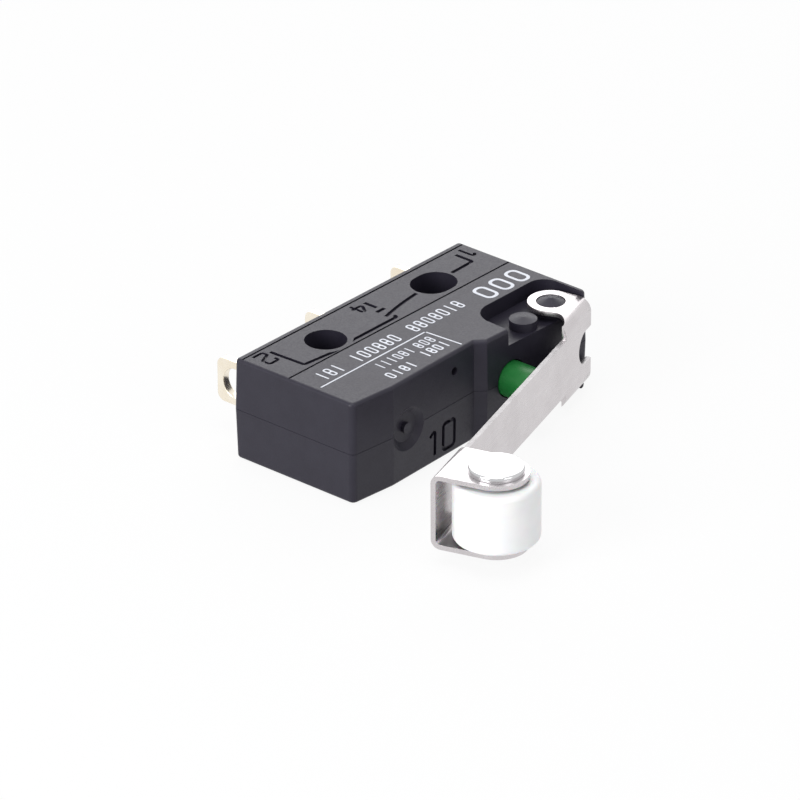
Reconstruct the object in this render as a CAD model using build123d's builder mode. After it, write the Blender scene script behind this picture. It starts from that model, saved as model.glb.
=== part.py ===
from build123d import *
from math import asin, cos, radians, sin, tan
import os

os.makedirs("parts", exist_ok=True)

# The switch lies on its side. The origin is the round mounting hole where it meets the
# lower side face. X runs toward the lever pivot, Y toward the terminals, Z is up.

# Housing block
body_length = 19.8
body_thickness = 6.4
terminal_face = 2.5
lever_face = 6.55
lever_corner_radius = 0.38
back_corner_radius = 0.25
edge_rounding = 0.22
parting_relief = 0.02
draft_angle = 1.2
wall = 0.95

# Stepped outline of the lever side, as heights beyond the lever face
knee_from_end = 3.2
knee_rise = 0.3
ramp_from_end = 9.35
ramp_foot_rise = 0.1
ramp_run = 0.55
nose_rise = 0.65
nose_end_rise = 0.9

# Mounting holes
hole_from_end = 5.15
hole_diameter = 2.5
hole_slot_travel = 0.45
hole_boss_wall = 0.5
collar_wall = 0.38
collar_height = 0.6
hole_rim = 0.1

# Hollow for the mechanism, measured from the parting plane
cavity_depth = 2.05
front_cavity_depth = 1.5
front_cavity_width = 7.6
front_wall = 0.9

# Side pockets for the ears of the lever, with their pivot stubs
pocket_depth = 1.0
pocket_length = 7.0
pocket_lean = 0.2
pocket_back = 4.2
pocket_right_wall = 0.38
pocket_left_radius = 1.5
pocket_right_radius = 1.1
pivot_from_end = 2.1
pivot_inset = 0.87
stub_spacing = 2.5
stub_radius = 0.82
stub_recess = 0.03
stub_cone = 0.28
spare_stub_recess = 0.3
spare_stub_cone = 0.14

# Lever, bent from one strip
lever_angle = 17.1
lever_lift = 0.1
lever_sheet = 0.3
lever_gap = 0.83
lever_width = 3.5
ear_recess = 0.375
ear_width = 2.6
ear_end_radius = 1.38
ear_bend_radius = 0.88
ear_flare = 1.1
flare_radius = 0.75
end_notch_width = 2.1
end_notch_depth = 1.8
pivot_clearance = 0.05

# Roller and its bracket at the free end of the lever
roller_reach = 19.52
roller_standoff = 2.9
bracket_height = 4.65
bracket_bend_radius = 0.57
bracket_end_radius = 1.87
roller_radius = 2.5
roller_side_gap = 0.14
roller_edge = 0.3
roller_hub_radius = 1.25
roller_hub_rise = 0.06
axle_radius = 0.7
axle_clearance = 0.08
rivet_head_radius = 1.6
rivet_head_height = 0.36
rivet_head_edge = 0.14
rivet_tail_radius = 1.1
rivet_tail_height = 0.3

# Plunger
plunger_from_pivot = 4.63
plunger_radius = 1.1
plunger_clearance = 0.08
plunger_dome = 1.6
plunger_lever_gap = 0.04
collar_radius = 1.38
collar_thickness = 0.6
collar_gap = 0.06
nose_radius = 0.6

# Terminals and their solder lugs
common_inset = 2.08
closed_inset = 2.48
terminal_thickness = 0.5
terminal_width = 2.4
terminal_bend = 0.45
terminal_clearance = 0.03
lug_width = 2.8
lug_length = 3.3
lug_corner = 0.5
lug_eye = 1.9
lug_eye_rim = 0.45
lug_shoulder = 0.35

# Snap mechanism
arm_from_plunger = 1.42
arm_pivot_y = -3.6
arm_length = 4.85
arm_width = 2.6
arm_sheet = 0.25
arm_window = 1.5
arm_tip = 1.15
contact_reach = 4.25
contact_travel = 0.5
contact_gap = 0.03
fixed_contact_height = 0.4
moving_contact_height = 0.39
contact_bar_width = 0.55
contact_bar_length = 1.3
knife_gap = 0.05
rocker_pivot_y = -4.35
rocker_overhang = 0.9
rocker_width = 2.1
rocker_sheet = 0.3
rocker_rise = 2.0
rocker_neck = 1.0
rocker_tip = 0.9
spring_radius = 0.45
spring_wire = 0.16
spring_turns = 9
spring_eye = 0.28
fork_gap = 1.5
seat_width = 1.1

# Marks moulded into the housing
mark_depth = 0.15
mark_width = 0.25
digit_size = 1.25
digit_line = 1.05
digit_gap = 0.75
zone_line = 1.58
edge_line = 1.98
stub_line = 1.4
stub_pitch = 8.15
dish_from_end = 4.55
dish_radius = 1.42
dish_depth = 0.4
dish_slope = 0.5
dish_pip = 0.32
mould_number_from_ramp = 3.0
mould_number_z = 1.35
mould_number_size = 1.7
vent_from_ramp = 1.75
vent_z = 5.2
vent_radius = 0.25

# Worked-out places used by several pieces
left_end = -hole_from_end
hole_pitch = body_length - 2 * hole_from_end
right_end = left_end + body_length
middle = (left_end + right_end) / 2
parting = body_thickness / 2
nose_line = lever_face + nose_rise
pocket_floor = body_thickness - pocket_depth
pocket_left = right_end - pocket_length
pivot_x = right_end - pivot_from_end
pivot_y = pivot_inset - nose_line
plunger_x = pivot_x - plunger_from_pivot
ramp_start = right_end - ramp_from_end
arm_pivot_x = plunger_x - arm_from_plunger
dish_x = left_end + dish_from_end
mould_number_x = ramp_start - mould_number_from_ramp
vent_x = ramp_start - vent_from_ramp
lever_offset = pivot_inset + lever_gap
pivot_height = body_thickness - 2 * ear_recess
front_inner = -(nose_line - front_wall)
swing = asin(contact_travel / 2 / contact_reach)
closed_contact_face = arm_pivot_y - contact_travel / 2 - arm_sheet / 2
closed_contact_face -= moving_contact_height + contact_gap
open_contact_face = 2 * arm_pivot_y - closed_contact_face
closed_arm_y = closed_contact_face - fixed_contact_height - terminal_thickness / 2
open_arm_y = open_contact_face + fixed_contact_height + terminal_thickness / 2
closed_x = left_end + closed_inset
common_x = right_end - common_inset
open_x = (closed_x + common_x) / 2
terminal_places = [closed_x, open_x, common_x]
rocker_pivot_x = common_x - terminal_thickness / 2
rocker_length = rocker_pivot_x - plunger_x + rocker_overhang

# Lever frame: x along the strip, y up, z away from the housing, origin on the pivot.
# The lever sits a little above the middle, within its side play.
tilt = radians(lever_angle)
along = (cos(tilt), sin(tilt), 0)
outward = (sin(tilt), -cos(tilt), 0)
lever_origin = (pivot_x, pivot_y, parting + lever_lift)
lever_frame = Plane(lever_origin, x_dir=along, z_dir=outward)
lever_section = Plane(lever_origin, x_dir=outward, z_dir=along)
lever_plan = Plane(lever_origin, x_dir=along, z_dir=(0, 0, 1))
roller_out = lever_offset + lever_sheet + roller_standoff
roller_axis = Plane(lever_plan.from_local_coords((-roller_reach, -roller_out, 0)), z_dir=(0, 0, 1))

# The dome of the plunger stands off the inner face of the lever by its own gap
dome_standoff = lever_offset - plunger_dome - plunger_lever_gap
dome_y = pivot_y + (plunger_x - pivot_x) * tan(tilt) - dome_standoff / cos(tilt)

# Snap mechanism frames: the arm rests on the closed contact, the rocker on the plunger
arm_direction = (-cos(swing), -sin(swing), 0)
arm_frame = Plane(
    (arm_pivot_x, arm_pivot_y, parting), x_dir=arm_direction, z_dir=(sin(swing), -cos(swing), 0)
)
rocker_tilt = radians(rocker_rise)
rocker_direction = (-cos(rocker_tilt), sin(rocker_tilt), 0)
rocker_frame = Plane(
    (rocker_pivot_x, rocker_pivot_y, parting),
    x_dir=rocker_direction,
    z_dir=(-sin(rocker_tilt), -cos(rocker_tilt), 0),
)


# Outline of the whole housing at the parting plane
def body_outline():
    with BuildSketch() as outline:
        with BuildLine():
            Polyline(
                (left_end, terminal_face),
                (left_end, -lever_face),
                (left_end + knee_from_end, -lever_face - knee_rise),
                (ramp_start, -lever_face - ramp_foot_rise),
                (ramp_start + ramp_run, -nose_line),
                (right_end, -lever_face - nose_end_rise),
                (right_end, terminal_face),
                close=True,
            )
        make_face()
    return outline.sketch


# Ring cut from the rim of each half, which leaves a fine groove where the halves meet
def parting_ring():
    with BuildSketch() as lip:
        add(body_outline())
        offset(amount=-parting_relief, kind=Kind.INTERSECTION)
        fillet(lip.vertices().group_by(Axis.Y)[-1], back_corner_radius)
        lever_corners = lip.vertices().group_by(Axis.X)
        fillet(lever_corners[0].sort_by(Axis.Y)[0], lever_corner_radius)
        lever_corners = lip.vertices().group_by(Axis.X)
        fillet(lever_corners[-1].sort_by(Axis.Y)[0], lever_corner_radius)
    with BuildSketch() as ring:
        add(body_outline())
        offset(amount=wall, kind=Kind.INTERSECTION)
        add(lip.sketch, mode=Mode.SUBTRACT)
    return ring.sketch


# Hollow around the contacts, which leaves a boss around each mounting hole
def contact_hollow():
    back = terminal_face - wall
    front = -lever_face + wall
    pocket_guard = -pocket_back + pocket_depth * 0.8
    boss = hole_diameter / 2 + hole_boss_wall
    with BuildSketch() as hollow:
        with BuildLine():
            Polyline(
                (left_end + wall, back),
                (left_end + wall, front),
                (pocket_left - wall, front),
                (pocket_left - wall, pocket_guard),
                (right_end - wall, pocket_guard),
                (right_end - wall, back),
                close=True,
            )
        make_face()
        with Locations((0, 0), (hole_pitch, 0)):
            SlotCenterToCenter(hole_slot_travel, 2 * boss, mode=Mode.SUBTRACT)
            with Locations((0, terminal_face / 2)):
                Rectangle(2 * boss + hole_slot_travel, terminal_face, mode=Mode.SUBTRACT)
    return hollow.sketch


# Shallower hollow behind the plunger, between the two ear pockets
def plunger_hollow():
    back = -pocket_back + pocket_depth * 0.8 + 0.2
    with BuildSketch() as hollow:
        with Locations((right_end - wall, front_inner)):
            Rectangle(front_cavity_width, back - front_inner, align=(Align.MAX, Align.MIN))
    return hollow.sketch


# Side pocket, open toward the lever
def pocket_outline():
    with BuildSketch() as pocket:
        with BuildLine():
            Polyline(
                (pocket_left, -lever_face - 2 * nose_end_rise),
                (pocket_left + pocket_lean, -pocket_back),
                (right_end - pocket_right_wall, -pocket_back),
                (right_end - pocket_right_wall, -lever_face - 2 * nose_end_rise),
                close=True,
            )
        make_face()
        back_corners = pocket.vertices().group_by(Axis.Y)[-1].sort_by(Axis.X)
        fillet(back_corners[0], pocket_left_radius)
        fillet(pocket.vertices().group_by(Axis.Y)[-1].sort_by(Axis.X)[-1], pocket_right_radius)
    return pocket.sketch


# One half of the housing, from the parting plane up to the side face
def half_shell():
    with BuildPart() as shell:
        with BuildSketch(Plane.XY.offset(parting)):
            add(body_outline())
        extrude(amount=parting, taper=draft_angle)
        uprights = shell.edges().filter_by_position(Axis.Z, 1.2 * parting, 1.8 * parting)
        ends = uprights.sort_by(Axis.Y)[:-2].sort_by(Axis.X)
        fillet([ends[0], ends[-1]], lever_corner_radius)
        uprights = shell.edges().filter_by_position(Axis.Z, 1.2 * parting, 1.8 * parting)
        fillet(uprights.sort_by(Axis.Y)[-2:], back_corner_radius)
        fillet(shell.faces().sort_by(Axis.Z)[-1].edges(), edge_rounding)
        with BuildSketch(Plane.XY.offset(parting)):
            add(parting_ring())
        extrude(amount=parting_relief, mode=Mode.SUBTRACT)
        with BuildSketch(Plane.XY.offset(parting)):
            add(contact_hollow())
        extrude(amount=cavity_depth, mode=Mode.SUBTRACT)
        with BuildSketch(Plane.XY.offset(parting)):
            add(plunger_hollow())
        extrude(amount=front_cavity_depth, mode=Mode.SUBTRACT)
        with BuildSketch(Plane.XY.offset(pocket_floor)):
            add(pocket_outline())
        extrude(amount=pocket_depth, mode=Mode.SUBTRACT)
        for stub_x, recess, cone in (
            (pivot_x, stub_recess, stub_cone),
            (pivot_x - stub_spacing, spare_stub_recess, spare_stub_cone),
        ):
            with BuildSketch(Plane.XY.offset(pocket_floor)):
                with Locations((stub_x, pivot_y)):
                    Circle(stub_radius)
            extrude(amount=pocket_depth - recess - cone)
            with Locations((stub_x, pivot_y, body_thickness - recess - cone)):
                Cone(stub_radius, 0.12, cone, align=(Align.CENTER, Align.CENTER, Align.MIN))
        with BuildSketch(Plane.XY.offset(parting)):
            with Locations((0, 0)):
                Circle(hole_diameter / 2)
            with Locations((hole_pitch, 0)):
                SlotCenterToCenter(hole_slot_travel, hole_diameter)
        extrude(amount=parting, mode=Mode.SUBTRACT)
        with BuildSketch(Plane.XZ.offset(-front_inner - 0.1)):
            with Locations((plunger_x, parting)):
                Circle(plunger_radius + plunger_clearance)
        extrude(amount=2 * front_wall, mode=Mode.SUBTRACT)
        with BuildSketch(Plane.XZ.offset(-terminal_face - 0.5)):
            with Locations([(x, parting) for x in terminal_places]):
                slot = terminal_thickness + 2 * terminal_clearance
                Rectangle(slot, terminal_width + 2 * terminal_clearance)
        extrude(amount=wall + 1, mode=Mode.SUBTRACT)
        dish_face = lever_face + knee_rise
        with Locations(Location((dish_x, -dish_face, parting), (90, 0, 0))):
            Cone(
                dish_radius - dish_slope,
                dish_radius + dish_slope,
                2 * dish_depth,
                mode=Mode.SUBTRACT,
            )
            with Locations((0, 0, -0.7 * dish_depth)):
                Cylinder(dish_pip, 0.6 * dish_depth)
        split(bisect_by=Plane.XY.offset(parting), keep=Keep.TOP)
    return shell.part


# Corners of the plain figures, in a cell one unit high
figures = {
    "0": [(-0.3, 0), (-0.3, 1), (0.3, 1), (0.3, 0), (-0.3, 0)],
    "1": [(0.12, 0), (0.12, 1), (-0.15, 0.75)],
    "2": [(-0.3, 0.75), (-0.3, 1), (0.3, 1), (0.3, 0.55), (-0.3, 0.3), (-0.3, 0), (0.35, 0)],
    "4": [(0.15, 0), (0.15, 1), (-0.35, 0.3), (0.35, 0.3)],
}


# Rounded line of one width along a chain of corners
def stroke(points, width):
    with BuildSketch() as mark:
        with BuildLine() as path:
            if points[0] == points[-1]:
                FilletPolyline(*points[:-1], radius=width, close=True)
            elif len(points) > 2:
                FilletPolyline(*points, radius=0.6 * width)
            else:
                Line(*points)
        trace(path.line, line_width=width)
    return mark.sketch


# One figure centred on the origin, turned by the given angle
def figure(name, size, width, turn=0):
    points = [(x * size, (y - 0.5) * size) for x, y in figures[name]]
    return stroke(points, width).rotate(Axis.Z, turn)


# Contact diagram and plain terminal numbers, sunk into the cover
def diagram():
    closed_column = open_x - stub_pitch
    common_column = open_x + stub_pitch
    common_stub = (common_column, stub_line)
    closed_stub = (closed_column, stub_line)
    open_stub = (open_x, stub_line)
    contact_column = open_x - 0.1
    closed_route = [
        closed_stub,
        (closed_column + 0.1, -1.1),
        (closed_column + 2.4, -1.35),
        (closed_column + 4.2, -1.2),
        (contact_column, -1.2),
        (contact_column, -0.95),
    ]
    with BuildSketch() as marks:
        add(stroke(closed_route, mark_width))
        add(stroke([common_stub, (common_column, 0.1), (hole_pitch, 0)], mark_width))
        add(stroke([open_stub, (open_x, 0.45)], mark_width))
        add(stroke([(contact_column - 0.35, 0.05), (contact_column + 0.35, 0.05)], mark_width))
        with BuildLine() as blade_line:
            ThreePointArc(
                (hole_pitch, -0.05),
                (contact_column + 1.5, -0.3),
                (contact_column - 0.4, -0.7),
            )
        trace(blade_line.line, line_width=mark_width)
        for name, x in (
            ("1", common_column + digit_gap),
            ("4", open_x - digit_gap),
            ("2", closed_column - digit_gap),
        ):
            with Locations((x, digit_line)):
                add(figure(name, digit_size, 0.8 * mark_width, 180))
        hole_land = hole_diameter / 2 + 2 * hole_rim
        with Locations((0, 0), (hole_pitch, 0)):
            SlotCenterToCenter(hole_slot_travel, 2 * hole_land, mode=Mode.SUBTRACT)
        for y in (edge_line, -zone_line):
            with Locations((middle, y)):
                Rectangle(body_length - 2 * edge_rounding, mark_width / 2)
    return marks.sketch


with BuildPart() as cover:
    add(half_shell())
    collar_bore = hole_diameter / 2 + collar_wall + terminal_clearance
    with BuildSketch(Plane.XY.offset(parting)):
        with Locations((0, 0), (hole_pitch, 0)):
            SlotCenterToCenter(hole_slot_travel, 2 * collar_bore)
    extrude(amount=collar_height + terminal_clearance, mode=Mode.SUBTRACT)
    with BuildSketch(Plane.XY.offset(body_thickness)):
        add(diagram())
    extrude(amount=-mark_depth, mode=Mode.SUBTRACT)
    with Locations(Location((vent_x, -lever_face - knee_rise / 2, vent_z), (90, 0, 0))):
        Cylinder(vent_radius, 2 * dish_depth, mode=Mode.SUBTRACT)

with BuildPart() as base_housing:
    add(half_shell().mirror(Plane.XY.offset(parting)))
    with BuildSketch(Plane.XY.offset(parting - collar_height)):
        with Locations((0, 0), (hole_pitch, 0)):
            SlotCenterToCenter(hole_slot_travel, hole_diameter + 2 * collar_wall)
    extrude(amount=2 * collar_height)
    with BuildSketch(Plane.XY):
        with Locations((0, 0)):
            Circle(hole_diameter / 2)
        with Locations((hole_pitch, 0)):
            SlotCenterToCenter(hole_slot_travel, hole_diameter)
    extrude(amount=body_thickness, mode=Mode.SUBTRACT)
    number_plane = Plane(
        (mould_number_x, -lever_face - ramp_foot_rise, mould_number_z),
        x_dir=(1, 0, 0),
        z_dir=(0, -1, 0),
    )
    with BuildSketch(number_plane.offset(-mark_depth)):
        for name, side in (("1", -1), ("0", 1)):
            with Locations((side * mould_number_size * 0.43, 0)):
                add(figure(name, mould_number_size, mark_width))
    extrude(amount=2 * mark_depth + knee_rise, mode=Mode.SUBTRACT)


# Straight blade of a terminal with its solder lug, down to the given inner end
def terminal_blade(x, inner_end):
    with BuildPart() as blade:
        with BuildSketch(Plane.YZ.offset(x - terminal_thickness / 2)) as plate:
            tip = terminal_face + lug_length
            shoulder = terminal_face + lug_shoulder
            with Locations((inner_end, parting)):
                Rectangle(shoulder - inner_end, terminal_width, align=(Align.MIN, Align.CENTER))
            with Locations((tip, parting)):
                Rectangle(lug_length - lug_shoulder, lug_width, align=(Align.MAX, Align.CENTER))
            fillet(plate.vertices().group_by(Axis.X)[-1], lug_corner)
            with Locations((tip - lug_eye_rim - lug_eye / 2, parting)):
                Circle(lug_eye / 2, mode=Mode.SUBTRACT)
        extrude(amount=terminal_thickness)
    return blade.part


# Strip bent at a right angle off the blade, in plan, for a span of heights
def bent_rail(points, low, high):
    with BuildPart() as rail:
        with BuildSketch(Plane.XY.offset(low)):
            with BuildLine() as path:
                FilletPolyline(*points, radius=terminal_bend)
            trace(path.line, line_width=terminal_thickness)
        extrude(amount=high - low)
    return rail.part


half_terminal = terminal_width / 2

with BuildPart() as normally_closed_terminal:
    start = closed_arm_y + 2 * terminal_bend
    add(terminal_blade(closed_x, start))
    route = [(closed_x, start), (closed_x, closed_arm_y), (arm_pivot_x - contact_reach + 0.9, closed_arm_y)]
    add(bent_rail(route, parting - half_terminal, parting + half_terminal))

with BuildPart() as normally_open_terminal:
    start = open_arm_y + 2 * terminal_bend
    add(terminal_blade(open_x, start))
    route = [(open_x, start), (open_x, open_arm_y), (arm_pivot_x - contact_reach - 0.7, open_arm_y)]
    add(bent_rail(route, parting - half_terminal, parting + half_terminal))

with BuildPart() as common_terminal:
    start = open_arm_y + 2 * terminal_bend
    add(terminal_blade(common_x, start))
    fork_x = arm_pivot_x + arm_sheet / 2 + knife_gap + terminal_thickness / 2
    route = [(common_x, start), (common_x, open_arm_y), (fork_x, open_arm_y), (fork_x, arm_pivot_y - 0.45)]
    add(bent_rail(route, parting - half_terminal, parting - fork_gap / 2))
    add(bent_rail(route, parting + fork_gap / 2, parting + half_terminal))
    with BuildSketch(Plane.YZ.offset(common_x - terminal_thickness / 2)):
        with Locations((rocker_pivot_y - 0.5, parting)):
            Rectangle(start - rocker_pivot_y + 0.6, seat_width, align=(Align.MIN, Align.CENTER))
    extrude(amount=terminal_thickness)
    with Locations((rocker_pivot_x, rocker_pivot_y, parting)):
        Cylinder(rocker_sheet / 2 + 2 * knife_gap, seat_width, mode=Mode.SUBTRACT)
    with Locations((fork_x - terminal_thickness / 2, arm_pivot_y, parting)):
        Cylinder(arm_sheet / 2 + knife_gap, terminal_width, mode=Mode.SUBTRACT)


# Fixed contact bar with a rounded crest that runs along the arm
def fixed_contact(face, side):
    with BuildPart() as bar:
        with BuildSketch(Plane.YZ.offset(arm_pivot_x - contact_reach - contact_bar_length / 2)):
            with Locations((face - side * fixed_contact_height / 2, parting)):
                Rectangle(fixed_contact_height, 2 * contact_bar_width)
        extrude(amount=contact_bar_length)
        crest = bar.faces().sort_by(Axis.Y)[-1 if side > 0 else 0]
        fillet(crest.edges().filter_by(Axis.X), contact_bar_width * 0.6)
    return bar.part


with BuildPart() as normally_closed_contact:
    add(fixed_contact(closed_contact_face, 1))

with BuildPart() as normally_open_contact:
    add(fixed_contact(open_contact_face, -1))

# Contact arm: two rails, open at the knife edges, joined by the tip
with BuildPart() as contact_arm:
    with BuildSketch(arm_frame.offset(-arm_sheet / 2)):
        with Locations((arm_length / 2, 0)):
            Rectangle(arm_length, arm_width)
        with Locations(((arm_length - arm_tip) / 2, 0)):
            Rectangle(arm_length - arm_tip, arm_window, mode=Mode.SUBTRACT)
        with Locations((contact_reach, 0)):
            Circle(contact_bar_width / 2, mode=Mode.SUBTRACT)
    extrude(amount=arm_sheet)
    knife_edges = contact_arm.edges().filter_by(Axis.Z).sort_by(Axis.X)[-4:]
    fillet(knife_edges, arm_sheet * 0.45)


# Moving contact: one rivet through the arm with a rounded bar on each face
def moving_bar(side):
    with BuildPart() as bar:
        with BuildSketch(arm_frame.offset(side * arm_sheet / 2)):
            with Locations((contact_reach, 0)):
                Rectangle(2 * contact_bar_width, contact_bar_length)
        extrude(amount=side * moving_contact_height)
        crest = bar.faces().sort_by(Axis(arm_frame.origin, arm_frame.z_dir))
        crest = crest[-1 if side > 0 else 0]
        fillet(crest.edges().filter_by(Axis.Z), contact_bar_width * 0.6)
    return bar.part


with BuildPart() as moving_contact:
    add(moving_bar(1))
    add(moving_bar(-1))
    with BuildSketch(arm_frame.offset(-arm_sheet / 2)):
        with Locations((contact_reach, 0)):
            Circle(contact_bar_width / 2)
    extrude(amount=arm_sheet)

# Rocker: pushed by the plunger, it carries the far end of the snap spring
with BuildPart() as rocker:
    with BuildSketch(rocker_frame.offset(-rocker_sheet / 2)):
        with Locations(((rocker_length - rocker_neck) / 2, 0)):
            Rectangle(rocker_length - rocker_neck, rocker_width)
        with Locations((rocker_length - rocker_neck, 0)):
            Rectangle(rocker_neck, rocker_tip, align=(Align.MIN, Align.CENTER))
        with Locations((rocker_length - spring_eye, 0)):
            Circle(spring_wire, mode=Mode.SUBTRACT)
    extrude(amount=rocker_sheet)
    seat_edges = rocker.edges().filter_by(Axis.Z).sort_by(Axis.X)[-2:]
    fillet(seat_edges, rocker_sheet * 0.45)

# Snap spring: close wound coil with an eye at each end, hooked to rocker and arm
rocker_hook = rocker_frame.from_local_coords((rocker_length - spring_eye, 0, 0))
arm_hook = arm_frame.from_local_coords((arm_length - arm_tip + spring_eye, 0, 0))
spring_run = arm_hook - rocker_hook
spring_length = spring_run.length
spring_axis = spring_run.normalized()
coil_length = spring_length - 4 * spring_eye
coil_start = 2 * spring_eye

with BuildPart() as snap_spring:
    coil_center = rocker_hook + spring_axis * coil_start
    with BuildLine() as coil:
        Helix(
            coil_length / spring_turns,
            coil_length,
            spring_radius,
            center=coil_center,
            direction=spring_axis,
        )
    with BuildSketch(Plane(coil.line @ 0, z_dir=coil.line % 0)):
        RegularPolygon(spring_wire / 2, 6)
    sweep(path=coil.line, is_frenet=True)
    for hook, end, inward in (
        (rocker_hook, coil.line @ 0, spring_axis),
        (arm_hook, coil.line @ 1, -spring_axis),
    ):
        with BuildLine() as tail:
            Polyline(hook, hook + inward * spring_eye, end)
        with BuildSketch(Plane(hook, z_dir=inward)):
            RegularPolygon(spring_wire / 2, 6)
        sweep(path=tail.line, transition=Transition.RIGHT)
        with Locations(Plane(end)):
            Sphere(spring_wire / 2)

# Plunger turned about its own axis: domed tip, shaft, stop collar and inner nose
with BuildPart() as plunger:
    shaft_top = -dome_y
    tip = shaft_top + plunger_dome
    dome_edge = shaft_top + (plunger_dome**2 - plunger_radius**2) ** 0.5
    collar_front = -front_inner - collar_gap
    collar_back = collar_front - collar_thickness
    rocker_face = rocker_frame.from_local_coords((rocker_pivot_x - plunger_x, 0, rocker_sheet / 2))
    nose_end = -rocker_face.Y + plunger_lever_gap
    with BuildSketch(Plane.XY) as profile:
        with BuildLine():
            Line((plunger_x, -tip), (plunger_x, -nose_end))
            ThreePointArc(
                (plunger_x, -nose_end),
                (plunger_x + nose_radius * 0.7, -nose_end - nose_radius * 0.3),
                (plunger_x + nose_radius, -nose_end - nose_radius),
            )
            Polyline(
                (plunger_x + nose_radius, -nose_end - nose_radius),
                (plunger_x + nose_radius, -collar_back),
                (plunger_x + collar_radius, -collar_back),
                (plunger_x + collar_radius, -collar_front),
                (plunger_x + plunger_radius, -collar_front),
                (plunger_x + plunger_radius, -dome_edge),
            )
            dome_middle = asin(plunger_radius / plunger_dome) / 2
            ThreePointArc(
                (plunger_x + plunger_radius, -dome_edge),
                (plunger_x + plunger_dome * sin(dome_middle), dome_y - plunger_dome * cos(dome_middle)),
                (plunger_x, -tip),
            )
        make_face()
    revolve(axis=Axis((plunger_x, 0, 0), (0, 1, 0)))
plunger.part = plunger.part.moved(Location((0, 0, parting)))


# Outline of the ears seen along the pivot: rounded round the stub, flared at the bend
def ear_outline():
    half = ear_width / 2
    face = lever_offset + lever_sheet
    with BuildSketch() as ear:
        Circle(ear_end_radius)
        with Locations((0, -face / 2)):
            Rectangle(ear_width, face)
        root = -face + lever_sheet
        with BuildLine():
            Polyline(
                (-half, root + flare_radius),
                (-half, -face),
                (-half - ear_flare, -face),
                (-half - ear_flare, root),
            )
            ThreePointArc(
                (-half - ear_flare, root),
                (-half - 0.29 * ear_flare, root + 0.29 * flare_radius),
                (-half, root + flare_radius),
            )
        make_face()
    return ear.sketch


# Cross-section of a folded channel whose legs point to one side, seen along the strip
def channel_section(web_outer, web_inner, leg_end, height, bend):
    half = height / 2
    with BuildSketch() as section:
        with BuildLine():
            Polyline(
                (leg_end, half),
                (web_outer, half),
                (web_outer, -half),
                (leg_end, -half),
                (leg_end, lever_sheet - half),
                (web_inner, lever_sheet - half),
                (web_inner, half - lever_sheet),
                (leg_end, half - lever_sheet),
                close=True,
            )
        make_face()
        near = (web_outer - lever_sheet / 4, web_outer + lever_sheet / 4)
        fillet(section.vertices().filter_by_position(Axis.X, *near), bend)
        near = (web_inner - lever_sheet / 4, web_inner + lever_sheet / 4)
        fillet(section.vertices().filter_by_position(Axis.X, *near), bend - lever_sheet)
    return section.sketch


# Channel cut to its outline as seen along the pivot, with a hole through both legs
def folded_end(section, outline, hole_x, hole_y, hole_radius):
    with BuildPart() as end:
        with BuildSketch(lever_section.offset(hole_x - body_length / 4)):
            add(section)
        extrude(amount=body_length / 2)
        with BuildSketch(lever_plan.offset(-body_thickness)):
            add(outline)
        extrude(amount=2 * body_thickness, mode=Mode.INTERSECT)
        with BuildSketch(lever_plan.offset(-body_thickness)):
            with Locations((hole_x, hole_y)):
                Circle(hole_radius)
        extrude(amount=2 * body_thickness, mode=Mode.SUBTRACT)
    return end.part


# Outline of the roller bracket seen along the axle
def bracket_outline():
    with BuildSketch() as outline:
        with Locations((-roller_reach, -roller_out)):
            Circle(bracket_end_radius)
        with Locations((-roller_reach, -(lever_offset + roller_out) / 2)):
            Rectangle(2 * bracket_end_radius, roller_out - lever_offset)
    return outline.sketch


with BuildPart() as lever:
    strip_end = ear_width / 2 + ear_flare / 2
    with BuildSketch(lever_frame.offset(lever_offset)):
        with Locations((-strip_end, 0)):
            Rectangle(roller_reach - strip_end, lever_width, align=(Align.MAX, Align.CENTER))
    extrude(amount=lever_sheet)
    outer_face = lever_offset + lever_sheet
    ear_reach = -ear_end_radius - lever_sheet
    fork = channel_section(outer_face, lever_offset, ear_reach, pivot_height, ear_bend_radius)
    add(folded_end(fork, ear_outline(), 0, 0, stub_radius + pivot_clearance))
    leg_reach = roller_out + bracket_end_radius + lever_sheet
    yoke = channel_section(lever_offset, outer_face, leg_reach, bracket_height, bracket_bend_radius)
    add(folded_end(yoke, bracket_outline(), -roller_reach, -roller_out, axle_radius))
    notch_radius = end_notch_width / 2
    with BuildSketch(lever_frame.offset(lever_offset - 2 * lever_sheet)):
        with Locations((ear_width / 2 - end_notch_depth + notch_radius, 0)):
            Circle(notch_radius)
            Rectangle(ear_width, end_notch_width, align=(Align.MIN, Align.CENTER))
    extrude(amount=4 * lever_sheet, mode=Mode.SUBTRACT)

# Roller with a raised hub on each side, running on the axle
roller_length = bracket_height - 2 * lever_sheet - 2 * roller_side_gap
roller_body = roller_length - 2 * roller_hub_rise

with BuildPart() as roller:
    with BuildSketch(roller_axis.offset(-roller_body / 2)):
        Circle(roller_radius)
    extrude(amount=roller_body)
    fillet(roller.edges(), roller_edge)
    with BuildSketch(roller_axis.offset(-roller_length / 2)):
        Circle(roller_hub_radius)
    extrude(amount=roller_length)
    with BuildSketch(roller_axis.offset(-roller_length)):
        Circle(axle_radius + axle_clearance)
    extrude(amount=2 * roller_length, mode=Mode.SUBTRACT)

# Riveted axle: flat head on the upper ear, upset tail under the lower ear
with BuildPart() as roller_axle:
    with BuildSketch(roller_axis.offset(-bracket_height / 2)):
        Circle(axle_radius)
    extrude(amount=bracket_height)
    with BuildSketch(roller_axis.offset(bracket_height / 2)):
        Circle(rivet_head_radius)
    extrude(amount=rivet_head_height)
    fillet(roller_axle.faces().sort_by(Axis.Z)[-1].edges(), rivet_head_edge)
    with BuildSketch(roller_axis.offset(-bracket_height / 2)):
        Circle(rivet_tail_radius)
    extrude(amount=-rivet_tail_height)
    fillet(roller_axle.faces().sort_by(Axis.Z)[0].edges(), rivet_head_edge)

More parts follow.
